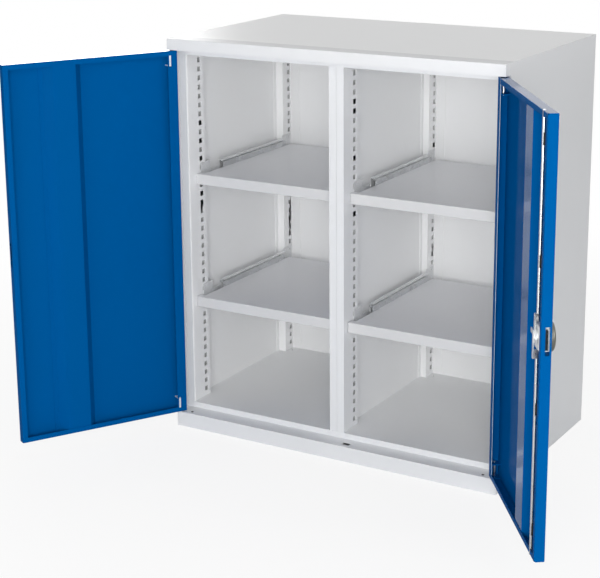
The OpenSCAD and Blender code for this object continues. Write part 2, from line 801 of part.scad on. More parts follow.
module lock_case()
    color(zinc) at_spindle() difference() {
        block([case_start - spindle_x, case_back, -case_half_height],
              [case_end - spindle_x, case_front, case_half_height]);
        turned(spindle_diameter + 2 * pin_clearance, -cut, door_depth + cut);
        pocket_y = bolt_thickness / 2 + lock_gap;
        pocket_z = bolt_height / 2 + lock_gap;
        block([spindle_diameter / 2 + spindle_slack, bolt_y - pocket_y, -pocket_z],
              [case_end - spindle_x + cut, bolt_y + pocket_y, pocket_z]);
    }

module rod_guides()
    color(black_plastic) on_right_door() difference() {
        for (z = guide_places)
            block([rod_x - guide_half_width, door_sheet, z - guide_half_height],
                  [rod_x + guide_half_width, rod_y + guide_grip, z + guide_half_height]);
        translate([rod_x, rod_y, door_bottom]) cylinder(d = rod_diameter + 2 * lock_gap, h = door_top);
    }

// Thick disc with a round outer edge, which the escutcheon and the knob share
module surround()
    rotate([90, 0, 0]) rotate_extrude() {
        flat_radius = escutcheon_diameter / 2 - surround_round;
        square([flat_radius, knob_height]);
        square([escutcheon_diameter / 2, knob_height - surround_round]);
        intersection() {
            translate([flat_radius, knob_height - surround_round]) circle(surround_round);
            square([escutcheon_diameter / 2, knob_height]);
        }
    }

module escutcheon()
    color(olive_plastic) at_spindle() difference() {
        surround();
        turned(knob_diameter + 2 * lock_gap, -knob_height - cut, -knob_seat);
        turned(spindle_diameter + wide_fit, -knob_height, cut);
    }

// Knob with a grip bar between two finger recesses
module turn_knob()
    color(olive_plastic) at_spindle() difference() {
        union() {
            intersection() {
                surround();
                turned(knob_diameter, -knob_height - cut, -knob_seat - lock_gap);
            }
            turned(spindle_diameter, -knob_seat - lock_gap - cut, case_front + lock_gap);
        }
        difference() {
            turned(knob_diameter - 2 * knob_wall, -knob_height - cut, -knob_seat - lock_gap - grip_floor);
            block([-grip_width / 2, -knob_height - 2 * cut, -knob_diameter / 2],
                  [grip_width / 2, 0, knob_diameter / 2]);
        }
        turned(key_diameter, -knob_height - cut, -knob_height + key_depth);
    }

module key_cylinder()
    color(bright_steel) at_spindle() difference() {
        turned(key_diameter - hole_fit, -knob_height - key_proud, -knob_height + key_depth);
        block([-key_slot[0] / 2, -knob_height - cut, -key_slot[2] / 2],
              [key_slot[0] / 2, -knob_height + key_slot[1], key_slot[2] / 2]);
    }

// A cam pin: side +1 towards the free edge for the upper rod, -1 for the lower rod
module cam_pin(side, to)
    translate([side * cam_radius / sqrt(2), 0, -side * cam_radius / sqrt(2)])
        turned(cam_pin_diameter, cam_front - cam_thickness / 2, to);

module lock_cam()
    color(bright_steel) at_spindle() {
        turned(cam_diameter, case_front + lock_gap, cam_front);
        cam_pin(1, upper_yoke_front);
        cam_pin(-1, lower_yoke_front);
    }

// Locking rod with its yoke: side +1 for the upper rod, -1 for the lower rod
module locking_rod(side, yoke_front, length) {
    inset = rod_x - spindle_x;
    slot_near = cam_radius / sqrt(2) - cam_pin_diameter / 2 - yoke_clearance;
    slot_far = cam_radius + cam_pin_diameter / 2 + yoke_clearance;
    slot_half = cam_pin_diameter / 2 + yoke_clearance;
    half_rod = rod_diameter / 2;
    arm_start = side > 0 ? inset - half_rod : -slot_far - yoke_margin;
    arm_end = side > 0 ? slot_far + yoke_margin : inset + half_rod;
    at_spindle() mirror([0, 0, side > 0 ? 0 : 1]) difference() {
        union() {
            translate([inset, rod_y, yoke_link]) cylinder(d = rod_diameter, h = length);
            block([inset - half_rod, rod_y, yoke_link],
                  [inset + half_rod, yoke_front, yoke_link + yoke_block]);
            block([inset - half_rod, yoke_front - yoke_thickness, -yoke_reach],
                  [inset + half_rod, yoke_front, yoke_link + yoke_block]);
            block([arm_start, yoke_front - yoke_thickness, -yoke_reach],
                  [arm_end, yoke_front, -cam_radius / sqrt(2) + slot_half + yoke_rim]);
        }
        pin_z = -cam_radius / sqrt(2);
        block([side > 0 ? slot_near : -slot_far, yoke_front - yoke_thickness - cut, pin_z - slot_half],
              [side > 0 ? slot_far : -slot_near, yoke_front + cut, pin_z + slot_half]);
    }
}

module upper_rod()
    color(bright_steel)
        locking_rod(1, upper_yoke_front, door_top + rod_tip - lock_height - yoke_link);
module lower_rod()
    color(bright_steel)
        locking_rod(-1, lower_yoke_front, lock_height - door_bottom + rod_tip - yoke_link);

module centre_bolt()
    color(bright_steel) on_right_door()
        block([bolt_tail, bolt_y - bolt_thickness / 2, lock_height - bolt_height / 2],
              [bolt_end, bolt_y + bolt_thickness / 2, lock_height + bolt_height / 2]);

top_panel();
left_side_panel();
right_side_panel();
back_panel();
floor_panel();
plinth();
rear_base_rail();
centre_base_rail();
partition_left_half();
partition_right_half();
left_front_upright();
left_rear_upright();
right_front_upright();
right_rear_upright();
partition_left_front_upright();
partition_left_rear_upright();
partition_right_front_upright();
partition_right_rear_upright();
upper_left_shelf();
lower_left_shelf();
upper_right_shelf();
lower_right_shelf();
upper_left_inner_rails();
lower_left_inner_rails();
upper_right_inner_rails();
lower_right_inner_rails();
upper_left_outer_rails();
lower_left_outer_rails();
upper_right_outer_rails();
lower_right_outer_rails();
upper_left_brackets();
lower_left_brackets();
upper_right_brackets();
lower_right_brackets();
hinge_bushes();
left_door_panel();
left_door_stiffener();
left_hinge_brackets();
left_hinge_pins();
right_door_panel();
right_door_stiffener();
right_hinge_brackets();
right_hinge_pins();
lock_case();
rod_guides();
escutcheon();
turn_knob();
lock_cam();
key_cylinder();
upper_rod();
lower_rod();
centre_bolt();
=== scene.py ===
"""A low tool cabinet with two hinged doors, dressed for a studio picture.

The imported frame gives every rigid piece. This file adds their finishes, the small
pieces that the frame leaves out, and the plain stage.
"""

import json
import math

import bmesh
import bpy
from mathutils import Matrix, Vector


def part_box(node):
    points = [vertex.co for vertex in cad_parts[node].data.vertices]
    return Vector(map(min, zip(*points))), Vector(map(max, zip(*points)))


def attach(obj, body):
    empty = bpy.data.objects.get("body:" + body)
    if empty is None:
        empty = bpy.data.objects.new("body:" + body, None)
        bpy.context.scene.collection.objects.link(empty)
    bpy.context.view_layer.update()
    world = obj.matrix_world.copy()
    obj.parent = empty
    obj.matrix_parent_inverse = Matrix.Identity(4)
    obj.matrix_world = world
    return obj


bl_info = {
    "name": "Tool Cabinet Dressing",
    "version": (1, 0, 0),
    "blender": (4, 5, 0),
    "location": "3D Viewport > Sidebar > Cabinet",
    "description": "Finishes, fittings and stage for a two-door tool cabinet",
    "category": "Object",
}

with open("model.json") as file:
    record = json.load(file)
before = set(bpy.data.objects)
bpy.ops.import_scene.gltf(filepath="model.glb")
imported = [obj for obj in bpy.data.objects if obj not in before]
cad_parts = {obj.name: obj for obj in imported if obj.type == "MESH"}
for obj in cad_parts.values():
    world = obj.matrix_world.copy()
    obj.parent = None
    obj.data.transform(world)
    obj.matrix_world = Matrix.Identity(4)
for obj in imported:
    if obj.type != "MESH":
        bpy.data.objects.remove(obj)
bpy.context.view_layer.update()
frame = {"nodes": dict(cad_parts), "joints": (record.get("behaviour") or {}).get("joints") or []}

SHELVES = [f"{level}_{side}" for level in ("upper", "lower") for side in ("left", "right")]
GREY_NODES = [
    "top_panel", "left_side_panel", "right_side_panel",
    "partition_left_half", "partition_right_half",
]
# Sheets inside, coated all over with the brightened inner colour: painted light that makes up for
# the light they miss
INNER_NODES = [
    "back_panel", "rear_base_rail", "centre_base_rail",
    "left_front_upright", "left_rear_upright", "right_front_upright", "right_rear_upright",
    "partition_left_front_upright", "partition_left_rear_upright",
    "partition_right_front_upright", "partition_right_rear_upright",
]
TRAY_NODES = [f"{shelf}_shelf" for shelf in SHELVES]
ZINC_NODES = (
    [f"{shelf}_outer_rails" for shelf in SHELVES]
    + [f"{shelf}_brackets" for shelf in SHELVES]
    + ["left_hinge_brackets", "lock_case"]
)
STEEL_NODES = [f"{shelf}_inner_rails" for shelf in SHELVES] + [
    "left_hinge_pins", "right_hinge_pins", "upper_rod", "lower_rod", "lock_cam",
]
BLACK_NODES = ["hinge_bushes", "rod_guides"]
UPRIGHT_NODES = [name for name in INNER_NODES if name.endswith("upright")]
# Rivets of the uprights: distances from the edges of the slotted face
RIVET_FROM_FRONT = 0.071
RIVET_FROM_BACK = 0.007
RIVET_FROM_TOP = 0.040
RIVET_FROM_BOTTOM = 0.012
# Rivets of the back: distances of the outer columns and rows from its edges
COLUMN_FROM_EDGE = 0.014
ROW_FROM_EDGE = 0.06
BACK_ROWS = 6
# Plugs of the ledge: distances from its ends and from its front
PLUG_FROM_END = 0.042
PLUG_FROM_FRONT = 0.014
# Screws of the lock case: columns along the door and height, from the spindle
SCREW_COLUMNS = (-0.009, 0.0245)
SCREW_RISE = 0.022
# Radius and height of each kind of head
UPRIGHT_RIVET = (0.0028, 0.0009)
BACK_RIVET = (0.0035, 0.0009)
LEDGE_PLUG = (0.0035, 0.0011)
CASE_SCREW = (0.0028, 0.0014)
CAM_SCREW = (0.0026, 0.0014)
# The lock's spindle in the right door's own coordinates, and the lock's layers behind it
LOCK_PLACE = (0.4345, -0.0125, 0.566)
CASE_FRONT = 0.024
CAM_FRONT = 0.0273
# About half a sheet's thickness: the depth at which a coat changes from outside to inside
SHEET_MIDDLE = 0.0007
# The middle of a door's outer sheet, from the hinge axis
OUTER_FACE = 0.0119
# The flat face of a door's stiffener, from the hinge axis
STIFFENER_FACE = 0.0106
# The cut edge of a door's lip beside the hinge, from the hinge axis, where a painted highlight goes
HEM_START, HEM_END = 0.0190, 0.0203
# Directions of the frame, and of a door in its own coordinates
ALONG_X, ALONG_Y, ALONG_Z = (1, 0, 0), (0, 1, 0), (0, 0, 1)
# Edges: corners closer than this are one, and the angles that count as flat, bent or folded
CORNER_REACH = 1e-6
FLAT_ANGLE = math.radians(1.0)
BENT_ANGLE = math.radians(32)
FOLDED_ANGLE = math.radians(40)
# Rounding of plated and of moulded pieces, as shares of the sheets' own
PLATED_ROUND = 0.6
MOULDED_ROUND = 2.0
MOULDED_SEGMENTS = 3
# Drawing lines: how much the noise is stretched along a piece's length
DRAWN_UPRIGHT = (1.0, 1.0, 0.02)
DRAWN_LEVEL = (1.0, 0.02, 1.0)
DRAWN_NOT = (1.0, 1.0, 1.0)
# Powder coat: sizes of its tone, dust, waves and grain, and the width of rubbed edges
MOTTLE_SIZE = 0.18
DUST_SIZE = 0.06
PEEL_SIZE = 0.0016
GRAIN_SIZE = 0.0004
RUBBED_REACH = 0.0006
RUBBED_SHARE = 0.3
# Half the width of the floor, and the distance that stands for 1 on its ramp to white
FLOOR_HALF = 9.0
FLOOR_FADE = 3.0


# ------------------------------------------------------------------ settings

class CabinetFinishes(bpy.types.PropertyGroup):
    """Colours and coat of the cabinet's surfaces."""

    body_colour: bpy.props.FloatVectorProperty(
        name="Body colour", description="Light grey powder coat of the body's outside",
        subtype="COLOR", size=3, min=0.0, max=1.0, default=(0.71, 0.72, 0.735),
    )
    # Inner colour: the body's grey made lighter as painted light, making up for the shade inside
    # the cabinet
    inner_brightened_colour: bpy.props.FloatVectorProperty(
        name="Inner brightened colour", description="Powder coat of the sheets inside, which catch less light",
        subtype="COLOR", size=3, min=0.0, max=1.0, default=(0.89, 0.895, 0.90),
    )
    # Shelf tops and trays: lighter than the fronts as painted light
    tray_lit_top_colour: bpy.props.FloatVectorProperty(
        name="Shelf lit top colour", description="Powder coat of the pull-out shelves",
        subtype="COLOR", size=3, min=0.0, max=1.0, default=(0.79, 0.795, 0.82),
    )
    # Shelf front lips: darker than the tops as painted shade
    tray_shaded_front_colour: bpy.props.FloatVectorProperty(
        name="Shelf shaded front colour", description="Powder coat of the shelves' front lips",
        subtype="COLOR", size=3, min=0.0, max=1.0, default=(0.60, 0.605, 0.615),
    )
    door_colour: bpy.props.FloatVectorProperty(
        name="Door colour", description="Blue powder coat of the doors",
        subtype="COLOR", size=3, min=0.0, max=1.0, default=(0.0, 0.083, 0.285),
    )
    # Hem colour: a pale band painted on the right lip's cut edge as a painted highlight
    hem_highlight_colour: bpy.props.FloatVectorProperty(
        name="Hem highlight colour", description="Pale cut edge of the lip beside the right hinge",
        subtype="COLOR", size=3, min=0.0, max=1.0, default=(0.42, 0.52, 0.62),
    )
    zinc_colour: bpy.props.FloatVectorProperty(
        name="Zinc colour", description="Plated brackets and rails",
        subtype="COLOR", size=3, min=0.0, max=1.0, default=(0.80, 0.81, 0.82),
    )
    steel_colour: bpy.props.FloatVectorProperty(
        name="Steel colour", description="Bright rods, pins and inner rails",
        subtype="COLOR", size=3, min=0.0, max=1.0, default=(0.74, 0.75, 0.76),
    )
    bolt_colour: bpy.props.FloatVectorProperty(
        name="Bolt colour", description="Blackened steel of the centre bolt",
        subtype="COLOR", size=3, min=0.0, max=1.0, default=(0.030, 0.032, 0.036),
    )
    bushing_colour: bpy.props.FloatVectorProperty(
        name="Bushing colour", description="Black nylon of bushes and rod guides",
        subtype="COLOR", size=3, min=0.0, max=1.0, default=(0.012, 0.012, 0.013),
    )
    surround_colour: bpy.props.FloatVectorProperty(
        name="Surround colour", description="Dark satin finish around the turn knob",
        subtype="COLOR", size=3, min=0.0, max=1.0, default=(0.150, 0.150, 0.130),
    )
    knob_colour: bpy.props.FloatVectorProperty(
        name="Knob colour", description="Satin grey-brown finish of the turn knob",
        subtype="COLOR", size=3, min=0.0, max=1.0, default=(0.36, 0.33, 0.28),
    )
    coat_roughness: bpy.props.FloatProperty(
        name="Coat roughness", description="Roughness of the powder coat",
        min=0.05, max=1.0, default=0.36,
    )
    peel_depth: bpy.props.FloatProperty(
        name="Orange peel depth", description="Height of the powder coat's fine waves",
        subtype="DISTANCE", unit="LENGTH", min=0.0, max=0.001, default=0.00004,
    )
    edge_round: bpy.props.FloatProperty(
        name="Edge round", description="Rounding of cut and folded sheet edges",
        subtype="DISTANCE", unit="LENGTH", min=0.0, max=0.002, default=0.0004,
    )


class CabinetStage(bpy.types.PropertyGroup):
    """Camera, lamps and sky."""

    camera_place: bpy.props.FloatVectorProperty(
        name="Camera place", description="Where the camera stands",
        subtype="XYZ", unit="LENGTH", size=3, default=(1.9698, -3.7443, 1.6751),
    )
    camera_turn: bpy.props.FloatVectorProperty(
        name="Camera turn", description="Turn to the left, tilt down and roll of the camera",
        subtype="EULER", size=3,
        default=(math.radians(30.76), math.radians(14.66), math.radians(-0.49)),
    )
    camera_lens: bpy.props.FloatProperty(
        name="Focal length", description="Focal length for a 36 mm wide picture",
        min=20.0, max=300.0, default=95.08,
    )
    camera_shift: bpy.props.FloatProperty(
        name="Shift", description="Vertical shift of the picture", min=-0.2, max=0.2, default=-0.10,
    )
    key_power: bpy.props.FloatProperty(
        name="Key lamp", description="Power of the large lamp at the right of the camera",
        subtype="POWER", min=0.0, max=2000.0, default=130.0,
    )
    fill_power: bpy.props.FloatProperty(
        name="Fill lamp", description="Power of the lamp at the front left",
        subtype="POWER", min=0.0, max=2000.0, default=42.0,
    )
    high_power: bpy.props.FloatProperty(
        name="High lamp", description="Power of the lamp above the camera",
        subtype="POWER", min=0.0, max=2000.0, default=32.0,
    )
    top_power: bpy.props.FloatProperty(
        name="Top lamp", description="Power of the lamp over the cabinet",
        subtype="POWER", min=0.0, max=2000.0, default=36.0,
    )
    side_power: bpy.props.FloatProperty(
        name="Side lamp", description="Power of the lamp at the right",
        subtype="POWER", min=0.0, max=2000.0, default=56.0,
    )
    back_power: bpy.props.FloatProperty(
        name="Back lamps", description="Power of each of the two lamps behind the cabinet",
        subtype="POWER", min=0.0, max=2000.0, default=60.0,
    )
    sky_strength: bpy.props.FloatProperty(
        name="Sky", description="Strength of the even light from all round",
        min=0.0, max=2.0, default=0.12,
    )


# ------------------------------------------------------------------ shader maths

class Signal:
    """A number or colour on its way through a material: expressions on it add nodes."""

    def __init__(self, graph, socket):
        self.graph = graph
        self.socket = socket

    def _maths(self, operation, first, second):
        return self.graph.add("ShaderNodeMath", {"operation": operation}, {0: first, 1: second})

    def __add__(self, other):
        return self._maths("ADD", self, other)

    __radd__ = __add__

    def __sub__(self, other):
        return self._maths("SUBTRACT", self, other)

    def __rsub__(self, other):
        return self._maths("SUBTRACT", other, self)

    def __mul__(self, other):
        return self._maths("MULTIPLY", self, other)

    __rmul__ = __mul__

    def __truediv__(self, other):
        return self._maths("DIVIDE", self, other)

    def __gt__(self, other):
        return self._maths("GREATER_THAN", self, other)

    def __lt__(self, other):
        return self._maths("LESS_THAN", self, other)

    def __abs__(self):
        return self.graph.add("ShaderNodeMath", {"operation": "ABSOLUTE"}, {0: self})

    def most(self, other):
        """The larger of this and another signal."""
        return self._maths("MAXIMUM", self, other)

    def along(self, direction):
        """How far the place lies along a direction."""
        return self.graph.add(
            "ShaderNodeVectorMath", {"operation": "DOT_PRODUCT"},
            {0: self, 1: tuple(direction)}, "Value",
        )


class Graph:
    """The node tree of one material."""

    def __init__(self, name, tree=None):
        if tree is None:
            self.material = bpy.data.materials.new(name)
            self.material.use_nodes = True
            tree = self.material.node_tree
        self.tree = tree
        self.tree.nodes.clear()

    def add(self, kind, settings=None, inputs=None, output=0):
        """One node of the given kind: settings first, then its sockets. Returns an output."""
        node = self.tree.nodes.new(kind)
        for name, value in (settings or {}).items():
            if name == "stops":
                self._set_stops(node.color_ramp, value)
            else:
                setattr(node, name, value)
        for key, value in (inputs or {}).items():
            socket = node.inputs[key]
            if isinstance(value, Signal):
                self.tree.links.new(value.socket, socket)
            else:
                socket.default_value = value
        return Signal(self, node.outputs[output]) if len(node.outputs) else None

    @staticmethod
    def _set_stops(ramp, stops):
        """Gives a colour ramp the listed (place, grey) stops."""
        while len(ramp.elements) < len(stops):
            ramp.elements.new(1.0)
        for element, (place, grey) in zip(ramp.elements, stops):
            element.position = place
            element.color = (grey, grey, grey, 1.0)

    def here(self):
        """The place on the surface, in metres, moving with the piece."""
        return self.add("ShaderNodeTexCoord", output="Object")

    def noise(self, size, detail=3.0, roughness=0.5, stretch=(1.0, 1.0, 1.0)):
        """Noise from 0 to 1 whose features are about the given size in metres."""
        place = self.add(
            "ShaderNodeVectorMath", {"operation": "MULTIPLY"}, {0: self.here(), 1: stretch}
        )
        return self.add(
            "ShaderNodeTexNoise", {"noise_dimensions": "3D"},
            {"Vector": place, "Scale": 1.0 / size, "Detail": detail, "Roughness": roughness},
        )

    def ramp(self, value, *stops):
        """The value carried through (place, grey) stops."""
        return self.add("ShaderNodeValToRGB", {"stops": stops}, {"Fac": value})

    def blend(self, mask, first, second):
        """A colour between two, by a mask."""
        return self.add(
            "ShaderNodeMix", {"data_type": "RGBA"},
            {"Factor": mask, 6: _colour(first), 7: _colour(second)}, output=2,
        )

    def bump(self, height, distance, strength):
        """A normal raised by height, given in units of the distance."""
        inputs = {"Height": height, "Distance": distance, "Strength": strength}
        return self.add("ShaderNodeBump", None, inputs)

    def surface(self, **sockets):
        """Ends the material in one Principled shader; socket names have _ for spaces."""
        inputs = {name.replace("_", " "): value for name, value in sockets.items()}
        shader = self.add("ShaderNodeBsdfPrincipled", None, inputs)
        self.add("ShaderNodeOutputMaterial", None, {"Surface": shader})
        return self.material


def _colour(value):
    """A colour with its alpha, or the signal that carries it."""
    if isinstance(value, Signal):
        return value
    return (*value, 1.0) if len(value) == 3 else tuple(value)


def shade(colour, factor):
    """A colour made lighter or darker."""
    return tuple(min(1.0, channel * factor) for channel in colour)


# ------------------------------------------------------------------ finishes

def worn_edges(graph, reach):
    """A mask that is 1 on outer edges, broken up as wear is."""
    open_edge = graph.add(
        "ShaderNodeAmbientOcclusion", {"inside": True, "samples": 6, "only_local": True},
        {"Distance": reach}, output="AO",
    )
    edge = graph.ramp(1.0 - open_edge, (0.25, 0.0), (0.6, 1.0))
    return edge * graph.ramp(graph.noise(0.02, 5.0, 0.6), (0.42, 0.0), (0.62, 1.0))


def powder_coat(name, colour, roughness, peel, mottling=0.006, gloss=0.5, inner=None, shine=None):
    """Semi-gloss powder coat: fine orange peel, slight mottling, dust and rubbed edges.

    inner is a colour painted in as light (a lighter copy of the coat, or a painted highlight) and a
    test of the place where it shows, shine a test of where the coat has a clear gloss.
    """
    graph = Graph(name)
    mottle = graph.noise(MOTTLE_SIZE, 3.0, 0.5)
    dust = graph.noise(DUST_SIZE, 5.0, 0.6, (1.0, 1.0, 0.35))
    dust = graph.ramp(dust, (0.52, 0.0), (0.82, 1.0))
    base = graph.blend(mottle, shade(colour, 1.0 - mottling), shade(colour, 1.0 + mottling))
    # The inner colour is painted light: a lighter copy of the coat where shade falls, or a painted
    # highlight
    if inner:
        inner_brightened_colour, inside = inner
        base = graph.blend(inside(graph.here()), base, inner_brightened_colour)
    base = graph.blend(dust * 0.015, base, shade(colour, 0.82))
    rubbed = worn_edges(graph, RUBBED_REACH) * RUBBED_SHARE
    base = graph.blend(rubbed, base, shade(colour, 1.3))
    relief = graph.noise(PEEL_SIZE, 2.0, 0.5) + graph.noise(GRAIN_SIZE, 2.0, 0.6) * 0.35
    rough = roughness + (mottle - 0.5) * 0.03 + dust * 0.04
    clear = {"Coat_Weight": shine(graph.here()), "Coat_Roughness": 0.12} if shine else {}
    return graph.surface(
        Base_Color=base, Roughness=rough, Normal=graph.bump(relief, peel, 0.35),
        Specular_IOR_Level=gloss, **clear
    )


def zinc_plate(name, colour):
    """Zinc plating: soft spangle, faint blue cast and dull patches."""
    graph = Graph(name)
    spangle = graph.add(
        "ShaderNodeTexVoronoi", {"feature": "F1"},
        {"Vector": graph.here(), "Scale": 260.0, "Randomness": 1.0}, output="Distance",
    )
    dull = graph.ramp(graph.noise(0.03, 5.0, 0.6), (0.40, 0.0), (0.70, 1.0))
    base = graph.blend(spangle, shade(colour, 0.88), shade(colour, 1.10))
    base = graph.blend(dull * 0.35, base, shade(colour, 0.72))
    scratch = graph.noise(0.0012, 3.0, 0.6, (1.0, 0.04, 1.0))
    return graph.surface(
        Base_Color=base, Metallic=0.35,
        Roughness=0.34 + dull * 0.16 + spangle * 0.06,
        Normal=graph.bump(scratch, 0.00003, 0.4),
    )


def drawn_steel(name, colour, stretch):
    """Bright drawn steel with fine lines along its length and an oil film."""
    graph = Graph(name)
    lines = graph.noise(0.0006, 4.0, 0.65, stretch)
    film = graph.ramp(graph.noise(0.04, 4.0, 0.6), (0.45, 0.0), (0.75, 1.0))
    base = graph.blend(lines, shade(colour, 0.9), shade(colour, 1.08))
    base = graph.blend(film * 0.3, base, shade(colour, 0.74))
    return graph.surface(
        Base_Color=base, Metallic=1.0, Roughness=0.22 + lines * 0.10 + film * 0.12,
        Normal=graph.bump(lines, 0.00002, 0.5),
    )


def moulded_plastic(name, colour, roughness, metallic=0.0):
    """Moulded plastic with a fine texture and handling marks; metallic for a satin film."""
    graph = Graph(name)
    pebble = graph.noise(0.0007, 3.0, 0.6)
    marks = graph.ramp(graph.noise(0.012, 5.0, 0.6), (0.45, 0.0), (0.75, 1.0))
    base = graph.blend(marks * 0.25, colour, shade(colour, 1.7))
    return graph.surface(
        Base_Color=base, Roughness=roughness + marks * 0.15, IOR=1.49, Metallic=metallic,
        Normal=graph.bump(pebble, 0.00004, 0.4),
    )


def smooth_shading():
    """A modifier's node group: smooth faces, with edges kept sharp above a small angle."""
    tree = bpy.data.node_groups.get("smooth shading")
    if tree is not None:
        return tree
    tree = bpy.data.node_groups.new("smooth shading", "GeometryNodeTree")
    for way in ("INPUT", "OUTPUT"):
        tree.interface.new_socket("Geometry", in_out=way, socket_type="NodeSocketGeometry")
    graph = Graph("smooth shading", tree)
    shape = graph.add("NodeGroupInput")
    angle = graph.add("GeometryNodeInputMeshEdgeAngle")
    sharp = graph.add(
        "FunctionNodeCompare", {"data_type": "FLOAT", "operation": "GREATER_THAN"},
        {0: angle, 1: BENT_ANGLE},
    )
    faces = graph.add(
        "GeometryNodeSetShadeSmooth", {"domain": "FACE"}, {"Geometry": shape, "Shade Smooth": True}
    )
    edges = graph.add(
        "GeometryNodeSetShadeSmooth", {"domain": "EDGE"},
        {"Geometry": faces, "Selection": sharp, "Shade Smooth": False},
    )
    graph.add("NodeGroupOutput", None, {"Geometry": edges})
    return tree


def round_edges(piece, width, segments=2):
    """Rounds a piece's edges a little with modifiers alone, so that its mesh stays as it is."""
    weld = piece.modifiers.new("joined corners", "WELD")
    weld.merge_threshold = CORNER_REACH
    flat = piece.modifiers.new("whole faces", "DECIMATE")
    flat.decimate_type = "DISSOLVE"
    flat.angle_limit = FLAT_ANGLE
    edge = piece.modifiers.new("rounded edges", "BEVEL")
    edge.width = width
    edge.segments = segments
    edge.limit_method = "ANGLE"
    edge.angle_limit = FOLDED_ANGLE
    edge.miter_outer = "MITER_ARC"
    shading = piece.modifiers.new("smooth shading", "NODES")
    shading.node_group = smooth_shading()
    weighted = piece.modifiers.new("even shading", "WEIGHTED_NORMAL")
    weighted.keep_sharp = True


def dress(names, material, round_by, segments=2):
    """Gives CAD nodes a material through their slots, and slightly rounded edges."""
    for name in names:
        piece = frame["nodes"][name]
        if not piece.material_slots:
            raise RuntimeError(f"{name} has no material slot")
        for slot in piece.material_slots:
            slot.link = "OBJECT"
            slot.material = material
        round_edges(piece, round_by, segments)


# ------------------------------------------------------------------ small fittings

# How a head turns so that its local +Z points out of the surface that carries it
FACING = {
    "+X": Matrix.Rotation(math.pi / 2, 4, "Y"), "-X": Matrix.Rotation(-math.pi / 2, 4, "Y"),
    "+Y": Matrix.Rotation(-math.pi / 2, 4, "X"), "-Y": Matrix.Rotation(math.pi / 2, 4, "X"),
    "+Z": Matrix.Identity(4),
}
# Rings of each head from its rim to its middle: share of the radius, share of the height,
# and whether the ring follows the cross recess
HEADS = {
    "rivet": ((1.0, -0.2, 0), (1.0, 0.3, 0), (0.84, 0.75, 0), (0.52, 1.0, 0), (0.34, 1.0, 0),
              (0.28, 0.3, 0)),
    "screw": ((1.0, -0.2, 0), (1.0, 0.45, 0), (0.88, 0.8, 0), (0.66, 1.0, 0), (0.56, 1.0, 1),
              (0.46, 0.35, 1)),
    "plug": ((1.0, -0.2, 0), (1.0, 0.5, 0), (0.9, 0.85, 0), (0.7, 1.0, 0), (0.5, 1.0, 0),
             (0.42, 0.75, 0)),
}


def add_head(shape, place, kind, radius, height, sides=24):
    """One turned head in the shape; the rings of a cross recess pull in between its arms."""
    rings = []
    for share, level, crossed in HEADS[kind]:
        ring = []
        for step in range(sides):
            angle = 2 * math.pi * step / sides
            between_arms = crossed and abs(math.sin(2 * angle)) > 0.6
            reach = radius * share * (0.4 if between_arms else 1.0)
            spot = Vector((reach * math.cos(angle), reach * math.sin(angle), height * level))
            ring.append(shape.verts.new(place @ spot))
        rings.append(ring)
    for low, high in zip(rings, rings[1:]):
        for step in range(sides):
            after = (step + 1) % sides
            shape.faces.new((low[step], low[after], high[after], high[step]))
    shape.faces.new(rings[-1])
    shape.faces.new(list(reversed(rings[0])))


def fasteners(name, body, kind, size, places, material):
    """A row of like heads as one piece that rides on a body."""
    shape = bmesh.new()
    for place in places:
        add_head(shape, place, kind, *size)
    bmesh.ops.recalc_face_normals(shape, faces=shape.faces)
    mesh = bpy.data.meshes.new(name)
    shape.to_mesh(mesh)
    shape.free()
    mesh.shade_smooth()
    mesh.materials.append(material)
    piece = bpy.data.objects.new(name, mesh)
    bpy.context.scene.collection.objects.link(piece)
    shading = piece.modifiers.new("smooth shading", "NODES")
    shading.node_group = smooth_shading()
    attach(piece, body)


def at(x, y, z, facing):
    """A place on a surface, and the way the surface faces."""
    return Matrix.Translation((x, y, z)) @ FACING[facing]


def door_matrix(joint_name):
    """From a door's own coordinates, taken from its hinge axis, to the frame at rest."""
    joint = next(each for each in frame["joints"] if each["name"] == joint_name)
    x, y, _ = joint["pos_m"]
    angle = math.radians(joint["range_deg"][0])
    hung = Matrix.Translation((-abs(x), y, 0.0)) @ Matrix.Rotation(angle, 4, "Z")
    return Matrix.Scale(-1.0, 4, (1, 0, 0)) @ hung if x > 0 else hung


def upright_rivets():
    """Places of the two rivets on each upright's slotted face."""
    places = []
    for name in UPRIGHT_NODES:
        low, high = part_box(name)
        faces_right = name.startswith(("left", "partition_right"))
        x, facing = (high[0], "+X") if faces_right else (low[0], "-X")
        y = low[1] + (RIVET_FROM_FRONT if "front" in name else RIVET_FROM_BACK)
        for z in (high[2] - RIVET_FROM_TOP, low[2] + RIVET_FROM_BOTTOM):
            places.append(at(x, y, z, facing))
    return places


def back_rivets():
    """Places of the three columns of rivets on the back."""
    low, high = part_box("back_panel")
    columns = (low[0] + COLUMN_FROM_EDGE, 0.5 * (low[0] + high[0]), high[0] - COLUMN_FROM_EDGE)
    pitch = (high[2] - low[2] - 2 * ROW_FROM_EDGE) / (BACK_ROWS - 1)
    rows = [low[2] + ROW_FROM_EDGE + pitch * row for row in range(BACK_ROWS)]
    return [at(x, high[1], z, "+Y") for x in columns for z in rows]


def ledge_plugs():
    """Places of the plugs near the two ends of the ledge."""
    low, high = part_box("plinth")
    x, y = high[0] - PLUG_FROM_END, low[1] + PLUG_FROM_FRONT
    return [at(side * x, y, high[2], "+Z") for side in (-1, 1)]


def lock_screws():
    """Places of the lock case's four screws, and of the one that holds the cam."""
    door = door_matrix("right_door_hinge")
    x, y, z = LOCK_PLACE
    case = [
        door @ at(x + reach, y + CASE_FRONT, z + rise, "+Y")
        for reach in SCREW_COLUMNS
        for rise in (-SCREW_RISE, SCREW_RISE)
    ]
    return case, [door @ at(x, y + CAM_FRONT, z, "+Y")]


# ------------------------------------------------------------------ tests of the place

